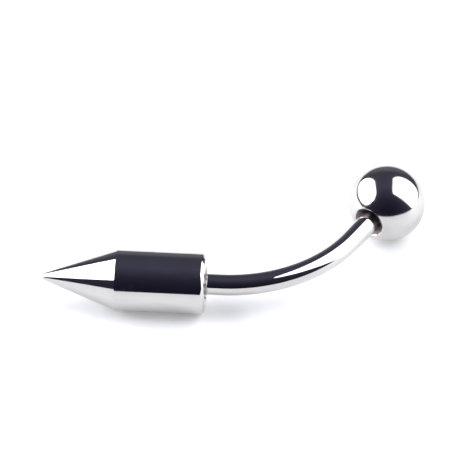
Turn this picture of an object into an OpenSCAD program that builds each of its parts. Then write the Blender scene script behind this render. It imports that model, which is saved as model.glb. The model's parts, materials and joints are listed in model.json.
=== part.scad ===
// Curved eyebrow barbell: a bent bar with a round ball screwed onto one end and a bullet spike
// onto the other. It lies as set down on a flat surface, along the side of its spike and on its
// ball. The ball is the thicker of the two, so the plane of the bend leans a little.
// The origin is on that surface, under the middle of the outline. +Z is up, and the spike points
// along -X. All lengths are in millimetres.

/* [Bar] */
// Diameter of the bar, between 18 and 16 gauge
bar_d = 1.1; // [0.8:0.1:1.3]
// Radius of the bend, to the middle of the bar
bend_r = 7.3; // [5:0.1:12]
// Angle that the bar bends through
bend_angle = 62; // [30:1:85]
// Straight stretch of bar that shows beside the ball
ball_straight = 1.7; // [0.5:0.05:4]
// Straight stretch of bar that shows beside the spike
spike_straight = 0.75; // [0.3:0.05:4]

/* [Threads] */
// How far the bar narrows, in radius, to the crests of its threads
thread_step = 0.07; // [0.03:0.01:0.1]
// Length of that taper that shows outside the mouth of each hole
taper_out = 0.15; // [0.05:0.05:0.25]
// Distance from one crest to the next
thread_pitch = 0.25; // [0.2:0.01:0.35]
// Depth of the thread, from crest to root
thread_depth = 0.14; // [0.08:0.01:0.18]
// Length of the thread that screws into the ball
ball_thread_l = 2.0; // [1.2:0.1:2.4]
// Length of the thread that screws into the spike
spike_thread_l = 2.5; // [1.2:0.1:4]

/* [Ball] */
// Diameter of the ball
ball_d = 4.0; // [3.4:0.1:6]
// Room round the bar at the mouth of the ball's hole
ball_mouth_gap = 0.3; // [0.1:0.05:0.5]

/* [Spike] */
// Diameter of the barrel
spike_d = 3.2; // [2.8:0.1:4]
// Length of the barrel, from the base to the cone
barrel_l = 4.6; // [3.5:0.1:8]
// Length of the cone, from the barrel to the tip
cone_l = 3.85; // [2:0.05:7]
// Diameter of the blunt end of the tip
tip_d = 0.3; // [0.1:0.05:0.4]
// Width of the bevel round the edge of the base
base_bevel = 0.15; // [0.05:0.05:0.3]
// Room round the bar at the mouth of the dish in the base
dish_gap = 0.4; // [0.1:0.05:0.6]

/* [Holes and fits] */
// Angle across the conical mouth of each hole
mouth_angle = 90; // [70:5:120]
// Gap between the crests of a thread and the wall of its hole
thread_clear = 0.03; // [0.01:0.01:0.1]
// Empty depth of each hole past the end of its thread
hole_spare = 0.25; // [0.1:0.05:0.5]
// Angle across the pointed bottom of each hole
point_angle = 118; // [90:1:140]

/* [Hidden] */
$fn = 96;

bar_steel = [0.74, 0.74, 0.77];
ball_steel = [0.82, 0.82, 0.85];
spike_steel = [0.78, 0.78, 0.81];

bar_r = bar_d / 2;
ball_r = ball_d / 2;
spike_r = spike_d / 2;
crest_r = bar_r - thread_step;
root_r = crest_r - thread_depth;
hole_r = crest_r + thread_clear;
ball_mouth_r = bar_r + ball_mouth_gap;
dish_r = bar_r + dish_gap;
mouth_slope = tan(mouth_angle / 2);

// Share of the pitch taken by the flat of a root and by the flat of a crest
root_flat = 1 / 4;
crest_flat = 1 / 8;
flank = (1 - root_flat - crest_flat) / 2;
// Plain tip of each stud, past the last turn of its thread
tip_run = thread_pitch * root_flat;

// Depth below each mouth at which its cone meets the wall of the hole, where the bar's taper ends
// and its thread starts
ball_seat = (ball_mouth_r - hole_r) / mouth_slope;
dish_seat = (dish_r - hole_r) / mouth_slope;

// Each straight stretch starts this far inside the end of the bend, that much less in radius, and
// has its full size as far past it, so that they overlap and join as one solid
seam = 0.01;

// In the plane of the bend, x runs along the spike's axis from its base to the bend
// and y to the side that the bar bends to
mouth_from_centre = sqrt(pow(ball_r, 2) - pow(ball_mouth_r, 2));
bend_end = [spike_straight + bend_r * sin(bend_angle), bend_r * (1 - cos(bend_angle))];
ball_way = [cos(bend_angle), sin(bend_angle)];
ball_centre = bend_end + (ball_straight + mouth_from_centre) * ball_way;

// Lean of that plane which brings both the ball and the spike down onto the surface
lean = asin((ball_r - spike_r) / ball_centre.y);

// Middle of the outline seen from above, from the spike's base
middle = [
    (ball_centre.x + ball_r - barrel_l - cone_l) / 2,
    (ball_centre.y * cos(lean) + ball_r - spike_r) / 2
];

// Sets the plane of the bend down on the surface, with the outline round the origin
module set_down() {
    translate([-middle.x, -middle.y, spike_r]) rotate([lean, 0, 0]) children();
}

// Turns +Z to run into the spike, from the middle of its base
module at_spike_base() {
    rotate([0, -90, 0]) children();
}

// Turns +Z to run into the ball, from the middle of its mouth
module at_ball_mouth() {
    mouth = ball_centre - mouth_from_centre * ball_way;
    translate([mouth.x, mouth.y, 0]) rotate([0, 0, bend_angle]) rotate([0, 90, 0]) children();
}

// Straight end of the bar, from the bend at z = -straight, down the taper to z = seat and on to the
// end of the thread
module bar_end(straight, seat, thread_l) {
    turns = floor(thread_l / thread_pitch);
    crests = [
        for (turn = [0 : turns - 1])
            let (start = seat + turn * thread_pitch)
                each [
                    [root_r, start + root_flat * thread_pitch],
                    [crest_r, start + (root_flat + flank) * thread_pitch],
                    [crest_r, start + (root_flat + flank + crest_flat) * thread_pitch],
                    [root_r, start + thread_pitch]
                ]
    ];
    rotate_extrude()
        polygon(concat(
            [
                [0, -straight - seam],
                [bar_r - seam, -straight - seam],
                [bar_r, seam - straight],
                [bar_r, -taper_out],
                [crest_r, seat],
                [root_r, seat]
            ],
            crests,
            [[root_r, seat + thread_l + tip_run], [0, seat + thread_l + tip_run]]
        ));
}

// Blind hole of radius hole_r from z = seat to z = depth, with a conical mouth in the plane z = 0.
// The cone goes on widening past its mouth, to take off the cap of the ball
module screw_hole(mouth_r, seat, depth) {
    over = ball_r - mouth_from_centre + base_bevel;
    rotate_extrude()
        polygon([
            [0, -over],
            [mouth_r + over * mouth_slope, -over],
            [hole_r, seat],
            [hole_r, depth],
            [0, depth + hole_r / tan(point_angle / 2)]
        ]);
}

// Bent bar with a threaded stud on each end
module curved_bar() {
    color(bar_steel) set_down() {
        at_spike_base() bar_end(spike_straight, dish_seat, spike_thread_l);
        translate([spike_straight, bend_r, 0])
            rotate([0, 0, -90])
                rotate_extrude(angle = bend_angle)
                    translate([bend_r, 0]) circle(r = bar_r);
        at_ball_mouth() bar_end(ball_straight, ball_seat, ball_thread_l);
    }
}

// Round ball with a countersunk blind hole towards the bar
module ball_end() {
    color(ball_steel) set_down() at_ball_mouth()
        difference() {
            translate([0, 0, mouth_from_centre]) sphere(r = ball_r);
            screw_hole(ball_mouth_r, ball_seat, ball_seat + ball_thread_l + tip_run + hole_spare);
        }
}

// Bullet spike: a barrel with a bevelled, dished base, and a cone with a blunt tip
module spike_end() {
    color(spike_steel) set_down() at_spike_base()
        difference() {
            rotate_extrude()
                polygon([
                    [0, 0],
                    [spike_r - base_bevel, 0],
                    [spike_r, base_bevel],
                    [spike_r, barrel_l],
                    [tip_d / 2, barrel_l + cone_l],
                    [0, barrel_l + cone_l]
                ]);
            screw_hole(dish_r, dish_seat, dish_seat + spike_thread_l + tip_run + hole_spare);
        }
}

curved_bar();
ball_end();
spike_end();
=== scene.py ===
"""Looks of a curved eyebrow barbell that lies on a pale table between two soft light panels.

The bar, the ball and the spike are surfaces worked out as whole arrays. A turned piece is an
outline of radius against height, carried round an axis. The bar is such an outline too, carried
along a line that bends. Every height, radius and gap is in millimetres, and every place comes
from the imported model.
"""

import json
import logging
import math
from dataclasses import dataclass, field
from enum import Enum
from typing import Any, Callable, Mapping, Optional, Sequence, Union

import bpy
import numpy as np
from mathutils import Matrix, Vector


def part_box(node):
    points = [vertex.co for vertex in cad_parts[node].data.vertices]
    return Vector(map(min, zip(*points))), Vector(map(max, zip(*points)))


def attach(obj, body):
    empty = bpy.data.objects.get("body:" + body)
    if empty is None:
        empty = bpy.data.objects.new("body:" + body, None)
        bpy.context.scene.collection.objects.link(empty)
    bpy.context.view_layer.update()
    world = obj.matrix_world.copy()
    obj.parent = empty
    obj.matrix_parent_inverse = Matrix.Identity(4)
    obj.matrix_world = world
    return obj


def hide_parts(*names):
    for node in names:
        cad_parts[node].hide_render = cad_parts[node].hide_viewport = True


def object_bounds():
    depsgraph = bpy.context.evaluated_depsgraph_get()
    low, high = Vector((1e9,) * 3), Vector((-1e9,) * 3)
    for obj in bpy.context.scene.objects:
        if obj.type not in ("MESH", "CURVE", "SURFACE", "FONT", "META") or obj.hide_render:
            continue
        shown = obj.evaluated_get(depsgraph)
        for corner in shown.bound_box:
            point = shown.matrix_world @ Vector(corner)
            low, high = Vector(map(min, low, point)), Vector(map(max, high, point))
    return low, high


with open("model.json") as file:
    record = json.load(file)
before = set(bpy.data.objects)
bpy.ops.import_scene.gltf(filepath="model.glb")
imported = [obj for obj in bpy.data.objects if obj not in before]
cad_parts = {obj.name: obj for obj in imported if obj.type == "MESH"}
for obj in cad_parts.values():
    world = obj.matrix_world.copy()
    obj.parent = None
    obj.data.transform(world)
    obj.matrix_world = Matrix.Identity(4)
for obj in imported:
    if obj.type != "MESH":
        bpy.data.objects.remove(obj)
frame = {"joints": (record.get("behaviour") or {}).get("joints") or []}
CAD_BOX = [list(corner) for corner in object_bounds()]

MM = 0.001
MICROMETRE = 1e-6
# Gap in millimetres within which a point counts as on the wall of a hole or the root of a thread
ON_WALL = 1e-6
# Bend in radians below which a corner counts as straight
NO_BEND = 1e-6
STRAIGHT = "straight_mm"
SHADE_AND_CUT = "shade_and_cut"
LOG = logging.getLogger("barbell")
UP = np.array([0.0, 0.0, 1.0])

Array = np.ndarray
Colour = tuple[float, float, float]
Limits = tuple[float, float]
Value = Union["Wire", float]


def unit(vector: Sequence[float]) -> Array:
    """Scales a vector to length 1.

    Args:
        vector: the three numbers of a direction.

    Returns:
        The same direction, one long.
    """
    found = np.array(vector, float)
    return found / np.linalg.norm(found)


def smooth(share: Array) -> Array:
    """Eases a share from 0 to 1: three times its square less twice its cube.

    Args:
        share: values that are cut off below 0 and above 1.

    Returns:
        The eased values.
    """
    held = np.clip(share, 0.0, 1.0)
    return held * held * (3.0 - 2.0 * held)


@dataclass(frozen=True)
class Corner:
    """A corner of a turned outline, with the radius of the fillet that rounds it."""

    radius: float
    height: float
    fillet: float = 0.0
    step: float = 0.4

    @property
    def point(self) -> Array:
        """The corner as an array of radius and height."""
        return np.array([self.radius, self.height])


@dataclass(frozen=True)
class Outline:
    """Corners of a turned outline, joined by straight runs, with points close to each run's ends."""

    corners: Sequence[Corner]
    support: float = 0.012
    support_share: float = 0.25
    turn: float = math.radians(6.0)
    fewest: int = 4

    def _fillet(self, before: Corner, corner: Corner, after: Corner) -> Array:
        """Rounds one corner.

        The arc touches both runs. Its points are the corner's own, moved back along the first run
        by the tangent length, plus a chord that turns evenly from the first run to the second.

        Args:
            before: the corner before this one.
            corner: the corner that is rounded.
            after: the corner after this one.

        Returns:
            Points of the arc, a row for each.
        """
        run_in = unit(corner.point - before.point)
        run_out = unit(after.point - corner.point)
        bend = math.atan2(run_in[0] * run_out[1] - run_in[1] * run_out[0], float(run_in @ run_out))
        if corner.fillet == 0.0 or abs(bend) < NO_BEND:
            return corner.point[None, :]
        reach = corner.fillet * math.tan(abs(bend) / 2.0)
        steps = max(self.fewest, math.ceil(abs(bend) / self.turn))
        angle = np.linspace(0.0, bend, steps + 1)
        across = np.array([-run_in[1], run_in[0]]) * math.copysign(1.0, bend)
        ahead = corner.fillet * np.sin(np.abs(angle))
        aside = corner.fillet * (1.0 - np.cos(angle))
        return corner.point - reach * run_in + ahead[:, None] * run_in + aside[:, None] * across

    def _run(self, start: Array, end: Array, step: float) -> Array:
        """Divides a straight run evenly, with one more point close to each end.

        Args:
            start: the first point, which is left out of the result.
            end: the last point, which is left out too.
            step: the longest stretch between two points.

        Returns:
            The points between, a row for each.
        """
        length = float(np.linalg.norm(end - start))
        near = min(self.support, length * self.support_share)
        count = max(1, math.ceil((length - 2.0 * near) / step))
        along = np.linspace(near, length - near, count + 1) / length
        return start + along[:, None] * (end - start)

    def points(self) -> Array:
        """Follows the whole outline.

        Returns:
            Radius and height of each point, a row for each. The first and last corner are whole.
        """
        first, last = self.corners[0], self.corners[-1]
        inner = zip(self.corners, self.corners[1:], self.corners[2:])
        bends = [first.point[None, :]]
        bends += [self._fillet(before, corner, after) for before, corner, after in inner]
        bends.append(last.point[None, :])
        rows = [bends[0]]
        for corner, here, there in zip(self.corners, bends, bends[1:]):
            rows.append(self._run(here[-1], there[0], corner.step))
            rows.append(there)
        return np.vstack(rows)


@dataclass(frozen=True)
class Thread:
    """A right-hand screw thread with flat roots and crests, and eased flanks."""

    pitch: float = 0.25
    depth: float = 0.14
    root_flat: float = 1 / 4
    crest_flat: float = 1 / 8
    run_out: float = 0.14
    rows_in_pitch: int = 20

    @property
    def step(self) -> float:
        """Stretch between two rows of points along a thread."""
        return self.pitch / self.rows_in_pitch

    def ridge(self, height: Array, angle: Array, start: float, end: float) -> Array:
        """Height of the ridge over the root.

        The phase is the height in pitches less the share of a turn. The ridge is 1 on the crest's
        flat, 0 on the root's flat and eased between, and it fades out towards both ends.

        Args:
            height: heights along the axis.
            angle: angles round the axis.
            start: the height at which the thread starts.
            end: the height at which it ends.

        Returns:
            The ridge's height at each place.
        """
        low, high = min(start, end), max(start, end)
        phase = height / self.pitch - angle / (2.0 * math.pi)
        from_crest = np.abs(np.mod(phase, 1.0) - 0.5) * 2.0
        flank = 1.0 - self.root_flat - self.crest_flat
        shape = 1.0 - smooth((from_crest - self.crest_flat) / flank)
        fade = smooth((height - low) / self.run_out) * smooth((high - height) / self.run_out)
        return self.depth * shape * fade


@dataclass(frozen=True)
class Axis:
    """A straight line with a side and an up direction square to it, in the row frame."""

    start: Array
    along: Array
    up: Array

    @property
    def side(self) -> Array:
        """The direction that makes side, up and along a right-hand set."""
        return np.cross(self.up, self.along)

    def carry(self, radius: Array, height: Array, angle: Array) -> Array:
        """Carries an outline round the line.

        A point is the start, plus the height along the line, plus the radius times the sideways
        direction turned by the angle towards up.

        Args:
            radius: distance from the line, in millimetres.
            height: distance along it, in millimetres.
            angle: angle round it.

        Returns:
            Places in metres, with x, y and z last.
        """
        out = np.cos(angle)[..., None] * self.side + np.sin(angle)[..., None] * self.up
        return self.start + MM * (height[..., None] * self.along + radius[..., None] * out)


@dataclass
class Skin:
    """A closed surface on a grid of rows, each once round, with a pole at each end."""

    name: str
    radius: Array
    height: Array
    angle: Array
    shade_and_cut: Array
    place: Callable[[Array, Array, Array], Array]

    def _faces(self, rows: int, columns: int) -> tuple[list, list]:
        """Joins the grid into four-sided faces, and each end ring to its pole.

        Args:
            rows: number of rings.
            columns: number of points in a ring.

        Returns:
            The four-sided faces and the three-sided ones, each listed outwards.
        """
        ring, column = np.meshgrid(np.arange(rows - 1), np.arange(columns), indexing="ij")
        beside = (column + 1) % columns
        corners = [
            ring * columns + column,
            ring * columns + beside,
            (ring + 1) * columns + beside,
            (ring + 1) * columns + column,
        ]
        quads = np.stack([corner.ravel() for corner in corners], axis=1)
        here = np.arange(columns)
        there = (here + 1) % columns
        last = (rows - 1) * columns
        first_pole = np.full(columns, rows * columns)
        fan_in = np.stack([first_pole, there, here], axis=1)
        fan_out = np.stack([last + here, last + there, first_pole + 1], axis=1)
        return quads.tolist(), fan_in.tolist() + fan_out.tolist()

    def build(self) -> bpy.types.Object:
        """Makes the mesh, and keeps two things on its points for the finish.

        One is the straightened place: the radius times the angle's cosine and sine, and the
        height, in millimetres, as if the piece were straight and stood at the origin. The other
        is a row's share of the dark colour: 0 where it is polished, and up to 1 in a hole, where
        the dark colour is painted shade, or on a stud, where a tool has cut it.

        Returns:
            The new object.
        """
        inner = slice(1, -1)
        radius, height = self.radius[inner], self.height[inner]
        angle = np.broadcast_to(self.angle, radius.shape)
        poles = self.height[[0, -1], 0]
        ends = self.place(np.zeros(2), poles, np.zeros(2))
        points = np.vstack([self.place(radius, height, angle).reshape(-1, 3), ends])
        straight = np.stack([radius * np.cos(angle), radius * np.sin(angle), height], axis=-1)
        pole_places = np.stack([np.zeros(2), np.zeros(2), poles], axis=-1)
        straight = np.vstack([straight.reshape(-1, 3), pole_places])
        quads, fans = self._faces(*radius.shape)
        mesh = bpy.data.meshes.new(self.name)
        mesh.from_pydata(points.tolist(), [], quads + fans)
        kept = mesh.attributes.new(STRAIGHT, "FLOAT_VECTOR", "POINT")
        kept.data.foreach_set("vector", straight.astype(np.float32).ravel())
        # Share of the dark colour for each point: painted shade in holes, cut finish on studs
        rows = self.shade_and_cut.astype(np.float32)
        shade_and_cut_share = np.concatenate([np.repeat(rows[inner], radius.shape[1]), rows[[0, -1]]])
        kept = mesh.attributes.new(SHADE_AND_CUT, "FLOAT", "POINT")
        kept.data.foreach_set("value", shade_and_cut_share)
        mesh.polygons.foreach_set("use_smooth", np.ones(len(mesh.polygons), bool))
        mesh.update()
        made = bpy.data.objects.new(self.name, mesh)
        bpy.context.scene.collection.objects.link(made)
        return made


def round_grid(rows: Array, columns: int) -> tuple[Array, Array, Array]:
    """Lays an outline out as a grid.

    Args:
        rows: radius and height of each point of the outline.
        columns: number of points in a ring.

    Returns:
        Radius and height, a row for each point of the outline, and the angles of the columns.
    """
    angle = np.arange(columns) * (2.0 * math.pi / columns)
    radius = np.repeat(rows[:, :1], columns, axis=1)
    height = np.repeat(rows[:, 1:], columns, axis=1)
    return radius, height, angle


class Wire:
    """The output of a node, with arithmetic that adds Math nodes."""

    def __init__(self, graph: "Graph", socket: bpy.types.NodeSocket) -> None:
        """Keeps the socket and the graph that it lies in."""
        self.graph = graph
        self.socket = socket

    def _math(self, operation: str, first: Value, second: Value, clamp: bool = False) -> "Wire":
        """Adds one Math node.

        Args:
            operation: the node's operation.
            first: its first value or wire.
            second: its second value or wire.
            clamp: whether the result is held between 0 and 1.

        Returns:
            The node's output.
        """
        settings = {"operation": operation, "use_clamp": clamp}
        return self.graph.node("ShaderNodeMath", settings, {0: first, 1: second})

    def __add__(self, other: Value) -> "Wire":
        """This and another value, added."""
        return self._math("ADD", self, other)

    def __radd__(self, other: Value) -> "Wire":
        """Another value and this, added."""
        return self._math("ADD", other, self)

    def __sub__(self, other: Value) -> "Wire":
        """This less another value."""
        return self._math("SUBTRACT", self, other)

    def __rsub__(self, other: Value) -> "Wire":
        """Another value less this."""
        return self._math("SUBTRACT", other, self)

    def __mul__(self, other: Value) -> "Wire":
        """This times another value."""
        return self._math("MULTIPLY", self, other)

    def __rmul__(self, other: Value) -> "Wire":
        """Another value times this."""
        return self._math("MULTIPLY", other, self)

    def between(self, limits: Limits) -> "Wire":
        """Runs from 0 at one value to 1 at another, and is held at both ends.

        Args:
            limits: the value that gives 0 and the one that gives 1.

        Returns:
            The share.
        """
        low, high = limits
        return self._math("MULTIPLY", self - low, 1.0 / (high - low), clamp=True)


class Graph:
    """A material's or a world's node tree, emptied and ready for new nodes."""

    def __init__(self, owner: Union[bpy.types.Material, bpy.types.World]) -> None:
        """Turns nodes on and clears them.

        Args:
            owner: the material or the world.
        """
        owner.use_nodes = True
        self.tree = owner.node_tree
        self.tree.nodes.clear()

    def node(
        self,
        kind: str,
        settings: Optional[Mapping[str, Any]] = None,
        sockets: Optional[Mapping[Union[str, int], Any]] = None,
        output: Union[str, int] = 0,
    ) -> Wire:
        """Adds a node of any type.

        Args:
            kind: the node's type.
            settings: its settings, which are set first. "stops" fills a colour ramp, from its
                low end to its high one.
            sockets: values or wires, by the name or number of the input.
            output: the name or number of the output that is wanted.

        Returns:
            That output.
        """
        made = self.tree.nodes.new(kind)
        chosen = dict(settings or {})
        stops = chosen.pop("stops", ())
        for key, value in chosen.items():
            setattr(made, key, value)
        for number, (position, colour) in enumerate(stops):
            ramp = made.color_ramp.elements
            stop = ramp[number] if number < len(ramp) else ramp.new(position)
            stop.position = position
            stop.color = (*colour, 1.0)
        for key, value in (sockets or {}).items():
            if isinstance(value, Wire):
                self.tree.links.new(value.socket, made.inputs[key])
            else:
                made.inputs[key].default_value = value
        return Wire(self, made.outputs[output] if len(made.outputs) else None)

    def kept(self, name: str, output: str) -> Wire:
        """Reads what a mesh keeps on its points.

        Args:
            name: the name that it is kept under.
            output: "Vector" or "Fac".

        Returns:
            The kept value.
        """
        settings = {"attribute_type": "GEOMETRY", "attribute_name": name}
        return self.node("ShaderNodeAttribute", settings, output=output)

    def mix(self, share: Value, first: Any, second: Any) -> Wire:
        """Mixes two colours.

        Args:
            share: 0 for the first and 1 for the second.
            first: a colour or a wire.
            second: a colour or a wire.

        Returns:
            The mixed colour.
        """
        first, second = ((*c, 1.0) if isinstance(c, tuple) else c for c in (first, second))
        settings = {"data_type": "RGBA", "clamp_factor": True}
        return self.node("ShaderNodeMix", settings, {0: share, 6: first, 7: second}, output=2)

    def noise(self, place: Wire, cloud: "Cloud") -> Wire:
        """Adds soft noise.

        Args:
            place: the vector that it is read at.
            cloud: its size and its finer layers.

        Returns:
            Values round a half.
        """
        sockets = {
            "Vector": place,
            "Scale": cloud.waves,
            "Detail": cloud.layers,
            "Roughness": cloud.strength,
        }
        return self.node("ShaderNodeTexNoise", None, sockets)

    def stretch(self, place: Wire, scale: Sequence[float]) -> Wire:
        """Scales a place by a number for each direction.

        Args:
            place: the vector.
            scale: the three numbers.

        Returns:
            The scaled vector.
        """
        settings = {"operation": "MULTIPLY"}
        return self.node("ShaderNodeVectorMath", settings, {0: place, 1: tuple(scale)})


@dataclass(frozen=True)
class Cloud:
    """Soft noise: its waves in one unit, the finer layers on it and how strong each of them is."""

    waves: float = 1.0
    layers: float = 3.0
    strength: float = 0.5


class Grain(Enum):
    """Which way the fine lines of a polish run on a piece, as waves per millimetre each way."""

    DRAWN = (9.0, 9.0, 0.35)
    BUFFED = (2.2, 2.2, 2.2)


@dataclass(frozen=True)
class Steel:
    """Polished steel with fine lines, soft smears and a little unevenness, darker and rougher where it
    is cut, and with a dark colour painted as shade inside holes.
    """

    name: str
    grain: Grain
    roughness: float
    clean: Colour = (0.56, 0.545, 0.53)
    worn: Colour = (0.51, 0.495, 0.48)
    # Dark brown-grey: painted shade inside holes and mouths, and the darker cut finish on the studs
    shade_and_cut_colour: Colour = (0.20, 0.17, 0.175)
    raw_roughness: float = 0.22
    smear: float = 0.03
    haze: Cloud = Cloud(0.6)
    haze_limits: Limits = (0.35, 0.7)
    haze_share: float = 0.6
    smears: Cloud = Cloud(2.3, 4.0, 0.6)
    smears_stretch: Sequence[float] = (1.0, 1.0, 0.4)
    lines: Cloud = Cloud(1.0, 3.0, 0.65)
    lines_limits: Limits = (0.45, 0.75)
    lines_share: float = 0.4
    lines_smear: float = 0.7
    gloss_limits: Limits = (0.5, 0.8)
    swell: Cloud = Cloud(0.9, 1.0)
    lines_depth_um: float = 0.02
    swell_depth_um: float = 0.15

    def material(self) -> bpy.types.Material:
        """Makes the finish.

        A haze a millimetre or two wide and the lines of the grain shift the colour. Smears drawn
        out along the piece and the same lines take off some of the gloss. The lines and a shallow
        swell lift the surface by parts of a micrometre. Where the mesh keeps a share for it, a dark
        colour is mixed in and the gloss drops: inside holes and mouths the dark colour is painted
        shade, and on the studs it stands for their cut finish.

        Returns:
            The material.
        """
        made = bpy.data.materials.new(self.name)
        graph = Graph(made)
        place = graph.kept(STRAIGHT, "Vector")
        shade_and_cut_share = graph.kept(SHADE_AND_CUT, "Fac")
        haze = graph.noise(place, self.haze).between(self.haze_limits)
        smears = graph.noise(graph.stretch(place, self.smears_stretch), self.smears)
        lines = graph.noise(graph.stretch(place, self.grain.value), self.lines)
        wear = haze * self.haze_share + lines.between(self.lines_limits) * self.lines_share
        colour = graph.mix(wear, self.clean, self.worn)
        # Painted shade: the dark colour darkens the holes and their mouths; on the studs it is the cut
        # finish
        colour = graph.mix(shade_and_cut_share, colour, self.shade_and_cut_colour)
        gloss = smears.between(self.gloss_limits) * self.smear + self.roughness
        gloss = gloss + lines.between(self.gloss_limits) * (self.smear * self.lines_smear)
        gloss = gloss + shade_and_cut_share * self.raw_roughness
        swell = graph.noise(place, self.swell)
        height = lines * (self.lines_depth_um * MICROMETRE)
        height = height + swell * (self.swell_depth_um * MICROMETRE)
        bump = graph.node("ShaderNodeBump", None, {"Strength": 1.0, "Distance": 1.0, "Height": height})
        sockets = {
            "Base Color": colour,
            "Metallic": 1.0,
            "Roughness": gloss,
            "Normal": bump,
        }
        shader = graph.node("ShaderNodeBsdfPrincipled", None, sockets)
        graph.node("ShaderNodeOutputMaterial", None, {"Surface": shader})
        return made


@dataclass(frozen=True)
class Piece:
    """What every piece of the barbell shares: its node, its body, its slot and its finish."""

    node: str
    body: str
    slot: str
    finish: Steel

    def dress(self, made: bpy.types.Object) -> bpy.types.Object:
        """Gives a piece its finish, and says which body it rides on and which node it replaces.

        Args:
            made: the piece.

        Returns:
            The same piece.
        """
        made.data.materials.append(self.finish.material())
        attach(made, self.body)
        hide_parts(self.node)
        faces = len(made.data.polygons)
        LOG.info("%s: %d faces, rides on %s, %s", made.name, faces, self.body, self.finish.name)
        return made


class Placing:
    """Places and directions of the barbell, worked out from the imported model."""

    def __init__(self) -> None:
        """Reads the slides' directions and the boxes of the ball and the spike."""
        slides = {joint["child"]: unit(joint["axis"]) for joint in frame["joints"]}
        self.spike_way = slides["spike"]
        self.ball_way = slides["ball"]
        low, high = (np.array(corner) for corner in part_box("spike_end"))
        self.spike_r = (high[2] - low[2]) / 2.0 / MM
        self.spike_base = np.array([high[0], (low[1] + high[1]) / 2.0, (low[2] + high[2]) / 2.0])
        low, high = (np.array(corner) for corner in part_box("ball_end"))
        self.ball_r = (high[2] - low[2]) / 2.0 / MM
        self.ball_centre = high - self.ball_r * MM
        self.normal = unit(np.cross(-self.spike_way, self.ball_way))
        self.bend = math.acos(float(-self.spike_way @ self.ball_way))


@dataclass(frozen=True)
class ScrewHole:
    """A tapped blind hole with a conical mouth and a drill point."""

    mouth_r: float
    depth: float
    hole_r: float = 0.51
    wall_fillet: float = 0.02
    mouth_fillet: float = 0.05
    mouth_step: float = 0.05
    # Share of the dark colour painted inside the hole and its mouth as shade
    shade_and_cut_share: float = 1.0
    point_angle: float = math.radians(118.0)
    thread: Thread = field(default_factory=lambda: Thread(depth=0.1))

    @property
    def wall_top(self) -> float:
        """Depth at which the conical mouth meets the wall."""
        return self.mouth_r - self.hole_r

    def corners(self) -> list[Corner]:
        """The outline from the drill point up the wall and out to the mouth's edge.

        Returns:
            The corners, the mouth's edge last.
        """
        point = self.depth + self.hole_r / math.tan(self.point_angle / 2.0)
        return [
            Corner(0.0, point),
            Corner(self.hole_r, self.depth, step=self.thread.step),
            Corner(self.hole_r, self.wall_top, self.wall_fillet, self.mouth_step),
            Corner(self.mouth_r, 0.0, self.mouth_fillet),
        ]

    def shade_and_cut(self, rows: Array) -> Array:
        """Tells how much painted shade each row of an outline gets.

        Args:
            rows: radius and height of each point of the outline.

        Returns:
            The hole's share of painted shade for rows in it or its mouth, and 0 for the polished ones.
        """
        radius, height = rows.T
        lip = self.mouth_fillet
        # Painted shade: rows inside the lip, down the mouth, along the wall and in the drill point
        inside = (radius < self.mouth_r - lip) & (height > lip) & (height < self.depth + self.hole_r)
        return self.shade_and_cut_share * inside

    def cut_thread(self, radius: Array, height: Array, angle: Array) -> Array:
        """Cuts the thread's groove into the wall.

        Args:
            radius: the grid's radius.
            height: the grid's height.
            angle: the columns' angles.

        Returns:
            The radius with the groove added along the wall.
        """
        inside = np.isclose(radius, self.hole_r, atol=ON_WALL) & (height > 0.0)
        top = self.wall_top + self.wall_fillet
        groove = self.thread.ridge(height, angle, top, self.depth)
        return radius + np.where(inside, groove, 0.0)


@dataclass(frozen=True)
class BallEnd(Piece):
    """The ball: a true sphere with a countersunk, tapped hole towards the bar."""

    mouth_gap: float = 0.3
    bar_r: float = 0.55
    hole_depth: float = 2.6525
    lip_reach: float = 0.1
    lip_turn: float = 0.02
    columns: int = 192
    arc_rows: int = 150

    def build(self, placing: Placing) -> bpy.types.Object:
        """Builds the ball.

        The outline runs up the hole, out over its mouth and round the sphere to the far pole. On
        the sphere, with the angle counted from the pole next to the bar, the radius is the ball's
        radius times the sine, and the height over the mouth is the centre's height less the
        ball's radius times the cosine. The mouth's edge is rounded into the sphere's tangent, and
        the sphere takes over a little past it.

        Args:
            placing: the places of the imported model.

        Returns:
            The ball.
        """
        # The hole and its mouth take the dark colour in full, as painted shade.
        hole = ScrewHole(self.bar_r + self.mouth_gap, self.hole_depth)
        from_centre = math.sqrt(placing.ball_r**2 - hole.mouth_r**2)
        lip = math.asin(hole.mouth_r / placing.ball_r)
        polar = np.linspace(lip + self.lip_turn, math.pi, self.arc_rows)
        arc = placing.ball_r * np.stack([np.sin(polar), -np.cos(polar)], axis=1)
        arc[:, 1] += from_centre
        tangent = hole.mouth_r + self.lip_reach * math.cos(lip), self.lip_reach * math.sin(lip)
        lead = Outline([*hole.corners(), Corner(*tangent)]).points()
        in_mouth = lead[:, 1] < hole.depth / 2.0
        rows = np.vstack([lead[~(in_mouth & (lead[:, 0] > arc[0, 0]))], arc])
        radius, height, angle = round_grid(rows, self.columns)
        radius = hole.cut_thread(radius, height, angle)
        mouth = placing.ball_centre - MM * from_centre * placing.ball_way
        axis = Axis(mouth, placing.ball_way, placing.normal)
        return Skin("ball", radius, height, angle, hole.shade_and_cut(rows), axis.carry).build()


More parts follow.
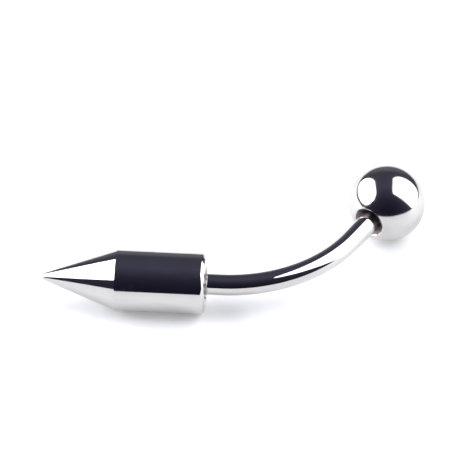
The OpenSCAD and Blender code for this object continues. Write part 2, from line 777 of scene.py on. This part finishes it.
@dataclass(frozen=True)
class SpikeEnd(Piece):
    """The bullet spike: a barrel with a bevelled, dished base, and a cone with a blunt tip."""

    barrel: float = 4.6
    cone: float = 3.85
    tip_r: float = 0.15
    bevel: float = 0.15
    dish_gap: float = 0.4
    bar_r: float = 0.55
    hole_depth: float = 3.2525
    # Share of the dark colour painted in the dish and the hole as shade
    dish_painted_shade: float = 0.5
    edge_fillet: float = 0.15
    shoulder_fillet: float = 0.03
    tip_fillet: float = 0.195
    columns: int = 192

    def build(self, placing: Placing) -> bpy.types.Object:
        """Builds the spike.

        The outline runs up the hole, out over the dish, the flat ring and the bevel, along the
        barrel and down the cone to the tip.

        Args:
            placing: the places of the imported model.

        Returns:
            The spike.
        """
        hole = ScrewHole(self.bar_r + self.dish_gap, self.hole_depth, shade_and_cut_share=self.dish_painted_shade)
        outer = placing.spike_r
        corners = [
            *hole.corners(),
            Corner(outer - self.bevel, 0.0, self.edge_fillet),
            Corner(outer, self.bevel, self.edge_fillet),
            Corner(outer, self.barrel, self.shoulder_fillet),
            Corner(self.tip_r, self.barrel + self.cone, self.tip_fillet),
            Corner(0.0, self.barrel + self.cone),
        ]
        rows = Outline(corners).points()
        radius, height, angle = round_grid(rows, self.columns)
        radius = hole.cut_thread(radius, height, angle)
        axis = Axis(placing.spike_base, placing.spike_way, placing.normal)
        return Skin("spike", radius, height, angle, hole.shade_and_cut(rows), axis.carry).build()


@dataclass(frozen=True)
class CurvedBar(Piece):
    """The bar: a round wire, straight at both ends and bent between, tapered to a thread each end."""

    bar_r: float = 0.55
    bend_r: float = 7.3
    ball_straight: float = 1.7
    spike_straight: float = 0.75
    thread_step: float = 0.07
    taper_out: float = 0.15
    ball_seat: float = 0.34
    spike_seat: float = 0.44
    ball_thread: float = 2.0
    spike_thread: float = 2.5
    tip_run: float = 0.0625
    taper_fillet: float = 2.0
    taper_step: float = 0.06
    shoulder_fillet: float = 0.02
    stud_fillet: float = 0.05
    stud_dull: float = 0.5
    columns: int = 96
    thread: Thread = field(default_factory=Thread)

    def _bent(self, placing: Placing) -> Callable[[Array, Array, Array], Array]:
        """Gives the function that carries an outline along the bent line.

        Up to the bend the line is straight. In the bend its place is the radius of the bend times
        the sine of the angle turned, and times one less its cosine, to the side. After it the line
        is straight again. The sideways direction turns with the line.

        Args:
            placing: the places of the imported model.

        Returns:
            A function of radius, distance along the line and angle, which gives places in metres.
        """
        ahead = -placing.spike_way
        aside = np.cross(placing.normal, ahead)

        def carry(radius: Array, height: Array, angle: Array) -> Array:
            """Places the points of one grid.

            Args:
                radius: distance from the line, in millimetres.
                height: distance along it, in millimetres.
                angle: angle round it.

            Returns:
                Places in metres, with x, y and z last.
            """
            turned = np.clip((height - self.spike_straight) / self.bend_r, 0.0, placing.bend)
            past = np.maximum(height - self.spike_straight - self.bend_r * placing.bend, 0.0)
            x = np.minimum(height, self.spike_straight)
            x = x + self.bend_r * np.sin(turned) + past * np.cos(turned)
            y = self.bend_r * (1.0 - np.cos(turned)) + past * np.sin(turned)
            side = np.cos(turned)[..., None] * aside - np.sin(turned)[..., None] * ahead
            out = -np.cos(angle)[..., None] * side + np.sin(angle)[..., None] * placing.normal
            middle = x[..., None] * ahead + y[..., None] * aside
            return placing.spike_base + MM * (middle + radius[..., None] * out)

        return carry

    def build(self, placing: Placing) -> bpy.types.Object:
        """Builds the bar, from the stud in the spike to the stud in the ball.

        The outline is a root of even radius along each stud, on which the thread's ridge stands,
        and between them the bar with a taper at both ends.

        Args:
            placing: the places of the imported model.

        Returns:
            The bar.
        """
        crest = self.bar_r - self.thread_step
        root = crest - self.thread.depth
        spike_shoulder = -self.spike_seat
        spike_tip = spike_shoulder - self.spike_thread - self.tip_run
        mouth = self.spike_straight + self.bend_r * placing.bend + self.ball_straight
        ball_shoulder = mouth + self.ball_seat
        ball_tip = ball_shoulder + self.ball_thread + self.tip_run
        fine = self.thread.step
        edge = self.shoulder_fillet
        corners = [
            Corner(0.0, spike_tip),
            Corner(root, spike_tip, self.stud_fillet, fine),
            Corner(root, spike_shoulder, edge),
            Corner(crest, spike_shoulder, edge),
            Corner(self.bar_r, self.taper_out, self.taper_fillet, self.taper_step),
            Corner(self.bar_r, mouth - self.taper_out, self.taper_fillet),
            Corner(crest, ball_shoulder, edge),
            Corner(root, ball_shoulder, edge, fine),
            Corner(root, ball_tip, self.stud_fillet),
            Corner(0.0, ball_tip),
        ]
        rows = Outline(corners).points()
        radius, height, angle = round_grid(rows, self.columns)
        at_root = np.isclose(radius, root, atol=ON_WALL)
        near_ridge = self.thread.ridge(height, angle, spike_tip, spike_shoulder)
        far_ridge = self.thread.ridge(height, angle, ball_shoulder, ball_tip)
        ridge = np.where(height > 0.0, far_ridge, near_ridge)
        radius = radius + np.where(at_root, ridge, 0.0)
        on_studs = (rows[:, 1] < spike_shoulder) | (rows[:, 1] > ball_shoulder)
        shade_and_cut = self.stud_dull * on_studs
        return Skin("bar", radius, height, angle, shade_and_cut, self._bent(placing)).build()


@dataclass(frozen=True)
class Viewpoint:
    """The camera: far off, with a long lens, a little to the side of the spike's axis and tipped."""

    azimuth: float = math.radians(5.2)
    elevation: float = math.radians(38.0)
    roll: float = math.radians(0.58)
    distance: float = 0.4
    filled: float = 0.83
    sensor: float = 36.0
    nearest: float = 0.1
    farthest: float = 20.0

    @property
    def right(self) -> Array:
        """Level direction to the picture's right."""
        return np.array([math.cos(self.azimuth), math.sin(self.azimuth), 0.0])

    @property
    def away(self) -> Array:
        """Level direction away from the camera."""
        return np.array([-math.sin(self.azimuth), math.cos(self.azimuth), 0.0])

    @property
    def back(self) -> Array:
        """Direction from the barbell to the camera."""
        return math.sin(self.elevation) * UP - math.cos(self.elevation) * self.away

    def build(self) -> None:
        """Sets the camera up so that the barbell fills its share of the picture's width."""
        low, high = (np.array(corner) for corner in CAD_BOX)
        span = float((high - low) @ np.abs(self.right))
        data = bpy.data.cameras.new("camera")
        data.sensor_width = self.sensor
        data.lens = self.sensor * self.distance * self.filled / span
        data.clip_start = self.distance * self.nearest
        data.clip_end = self.distance * self.farthest
        made = bpy.data.objects.new("camera", data)
        up = np.cross(self.back, self.right)
        across = math.cos(self.roll) * self.right - math.sin(self.roll) * up
        placed = np.eye(4)
        placed[:3, :3] = np.stack([across, np.cross(self.back, across), self.back], axis=1)
        placed[:3, 3] = (low + high) / 2.0 + self.distance * self.back
        made.matrix_world = Matrix(placed.tolist())
        bpy.context.scene.collection.objects.link(made)
        bpy.context.scene.camera = made
        LOG.info("camera: %.0f mm lens", data.lens)


@dataclass(frozen=True)
class Panel:
    """A flat upright light panel beside the barbell, with rounded corners.

    Its hand is -1 on the camera's left and 1 on its right. Its corners are pairs of a distance
    away from the camera and a height over the table, both as shares of the panel's own distance
    from the barbell.
    """

    name: str
    hand: float
    corners: Sequence[tuple[float, float]]
    distance: float = 0.28
    strength: float = 3.5
    colour: Colour = (0.96, 0.98, 1.03)
    cut: float = 0.18
    rounds: int = 3

    def _outline(self) -> Array:
        """Rounds the corners by cutting them off, a few times over.

        Each time, every run keeps its middle part and loses the same share at both ends.

        Returns:
            Distance away and height of each point, a row for each.
        """
        points = np.array(self.corners, float)
        for _ in range(self.rounds):
            onward = np.roll(points, -1, axis=0) - points
            ends = [points + self.cut * onward, points + (1.0 - self.cut) * onward]
            points = np.stack(ends, axis=1).reshape(-1, 2)
        return points

    def build(self, view: Viewpoint) -> bpy.types.Object:
        """Builds the panel, which the camera itself doesn't see.

        Args:
            view: the camera, whose directions the panel is placed by.

        Returns:
            The panel.
        """
        away, height = self._outline().T * self.distance
        points = self.hand * self.distance * view.right + away[:, None] * view.away
        points = points + height[:, None] * UP
        order = list(range(len(points)))
        if self.hand > 0.0:
            order.reverse()
        mesh = bpy.data.meshes.new(self.name)
        mesh.from_pydata(points.tolist(), [], [order])
        made = bpy.data.objects.new(self.name, mesh)
        bpy.context.scene.collection.objects.link(made)
        material = bpy.data.materials.new(self.name)
        graph = Graph(material)
        sockets = {"Color": (*self.colour, 1.0), "Strength": self.strength}
        lit = graph.node("ShaderNodeEmission", None, sockets)
        graph.node("ShaderNodeOutputMaterial", None, {"Surface": lit})
        mesh.materials.append(material)
        made.visible_camera = False
        return made


@dataclass(frozen=True)
class Table:
    """The pale satin table top, lit a little from below."""

    half: float = 0.6
    front: float = 0.033
    right: float = 0.034
    colour: Colour = (0.9, 0.9, 0.9)
    shade: Colour = (0.86, 0.86, 0.87)
    roughness: float = 0.5
    sheen: float = 1.0
    glow: float = 0.22
    fibres: Cloud = Cloud(900.0, 4.0, 0.6)
    fibre_limits: Limits = (0.4, 0.7)

    def build(self) -> bpy.types.Object:
        """Builds the table top, flat through the surface that the barbell lies on.

        It ends a little way in front of the barbell and to its right, so that the dark bands and
        the right light in the steel start below the level line.

        Returns:
            The table top.
        """
        half, front, right = self.half, self.front, self.right
        corners = [(-half, -front, 0.0), (right, -front, 0.0), (right, half, 0.0), (-half, half, 0.0)]
        mesh = bpy.data.meshes.new("table")
        mesh.from_pydata(corners, [], [[0, 1, 2, 3]])
        made = bpy.data.objects.new("table", mesh)
        bpy.context.scene.collection.objects.link(made)
        material = bpy.data.materials.new("table")
        graph = Graph(material)
        place = graph.node("ShaderNodeTexCoord", None, None, output="Object")
        fibres = graph.noise(place, self.fibres).between(self.fibre_limits)
        colour = graph.mix(fibres, self.colour, self.shade)
        sockets = {
            "Base Color": colour,
            "Roughness": self.roughness,
            "Specular IOR Level": self.sheen,
            "Emission Color": colour,
            "Emission Strength": self.glow,
        }
        shader = graph.node("ShaderNodeBsdfPrincipled", None, sockets)
        graph.node("ShaderNodeOutputMaterial", None, {"Surface": shader})
        mesh.materials.append(material)
        return made


@dataclass(frozen=True)
class Studio:
    """The dim room round the panels, with a white backdrop, and how the picture is taken."""

    shades: Sequence[tuple[float, Colour]] = (
        (0.0, (0.014, 0.013, 0.028)),
        (0.18, (0.032, 0.032, 0.056)),
        (0.5, (0.085, 0.083, 0.135)),
        (0.9, (0.075, 0.075, 0.11)),
        (1.0, (0.22, 0.22, 0.25)),
    )
    backdrop: Colour = (1.0, 1.0, 1.0)
    bounces: int = 12
    diffuse_bounces: int = 4
    glossy_bounces: int = 8
    brightest_bounce: float = 4.0

    def build(self, view: Viewpoint) -> None:
        """Builds the room, from its dim side behind the camera to its lighter far side.

        Its shade goes by the direction's share away from the camera, from 0 to 1. The camera
        itself sees the backdrop.

        Args:
            view: the camera, whose directions the room is shaded by.
        """
        world = bpy.data.worlds.new("room")
        bpy.context.scene.world = world
        graph = Graph(world)
        way = graph.node("ShaderNodeTexCoord", None, None, output="Generated")
        settings = {"operation": "DOT_PRODUCT"}
        sockets = {0: way, 1: tuple(view.away)}
        reach = graph.node("ShaderNodeVectorMath", settings, sockets, output="Value")
        settings = {"stops": self.shades}
        room = graph.node("ShaderNodeValToRGB", settings, {"Fac": reach * 0.5 + 0.5})
        seen = graph.node("ShaderNodeLightPath", None, None, output="Is Camera Ray")
        colour = graph.mix(seen, room, self.backdrop)
        shader = graph.node("ShaderNodeBackground", None, {"Color": colour, "Strength": 1.0})
        graph.node("ShaderNodeOutputWorld", None, {"Surface": shader})

    def expose(self) -> None:
        """Sets plain colours and calm bounces."""
        scene = bpy.context.scene
        scene.view_settings.view_transform = "Standard"
        scene.view_settings.look = "None"
        scene.cycles.use_denoising = True
        scene.cycles.max_bounces = self.bounces
        scene.cycles.diffuse_bounces = self.diffuse_bounces
        scene.cycles.glossy_bounces = self.glossy_bounces
        scene.cycles.sample_clamp_indirect = self.brightest_bounce


LEFT_LIGHT = Panel(
    "left_panel",
    hand=-1.0,
    corners=(
        (-0.3, 0.11),
        (1.2, 0.11),
        (1.35, 0.5),
        (1.2, 1.25),
        (0.8, 1.75),
        (-0.5, 1.65),
        (-0.8, 1.0),
        (-0.6, 0.4),
    ),
    strength=4.6,
)
RIGHT_LIGHT = Panel(
    "right_panel",
    hand=1.0,
    corners=(
        (-0.33, -0.1),
        (0.1, -0.09),
        (0.65, 0.02),
        (0.85, 0.4),
        (1.2, 1.0),
        (1.65, 1.9),
        (1.9, 3.6),
        (-1.45, 3.5),
    ),
)
BAR_STEEL = Steel("drawn steel", Grain.DRAWN, roughness=0.04)
BALL_STEEL = Steel("buffed steel", Grain.BUFFED, roughness=0.095)
SPIKE_STEEL = Steel("turned steel", Grain.DRAWN, roughness=0.03, smear=0.18)


def main() -> None:
    """Builds the barbell and the studio round it."""
    logging.basicConfig(level=logging.INFO, format="%(name)s: %(message)s")
    placing = Placing()
    pieces = [
        CurvedBar("curved_bar", "bar", "bar_steel", BAR_STEEL),
        BallEnd("ball_end", "ball", "ball_steel", BALL_STEEL),
        SpikeEnd("spike_end", "spike", "spike_steel", SPIKE_STEEL),
    ]
    for piece in pieces:
        piece.dress(piece.build(placing))
    view = Viewpoint()
    view.build()
    Table().build()
    LEFT_LIGHT.build(view)
    RIGHT_LIGHT.build(view)
    studio = Studio()
    studio.build(view)
    studio.expose()


if __name__ == "__main__":
    main()
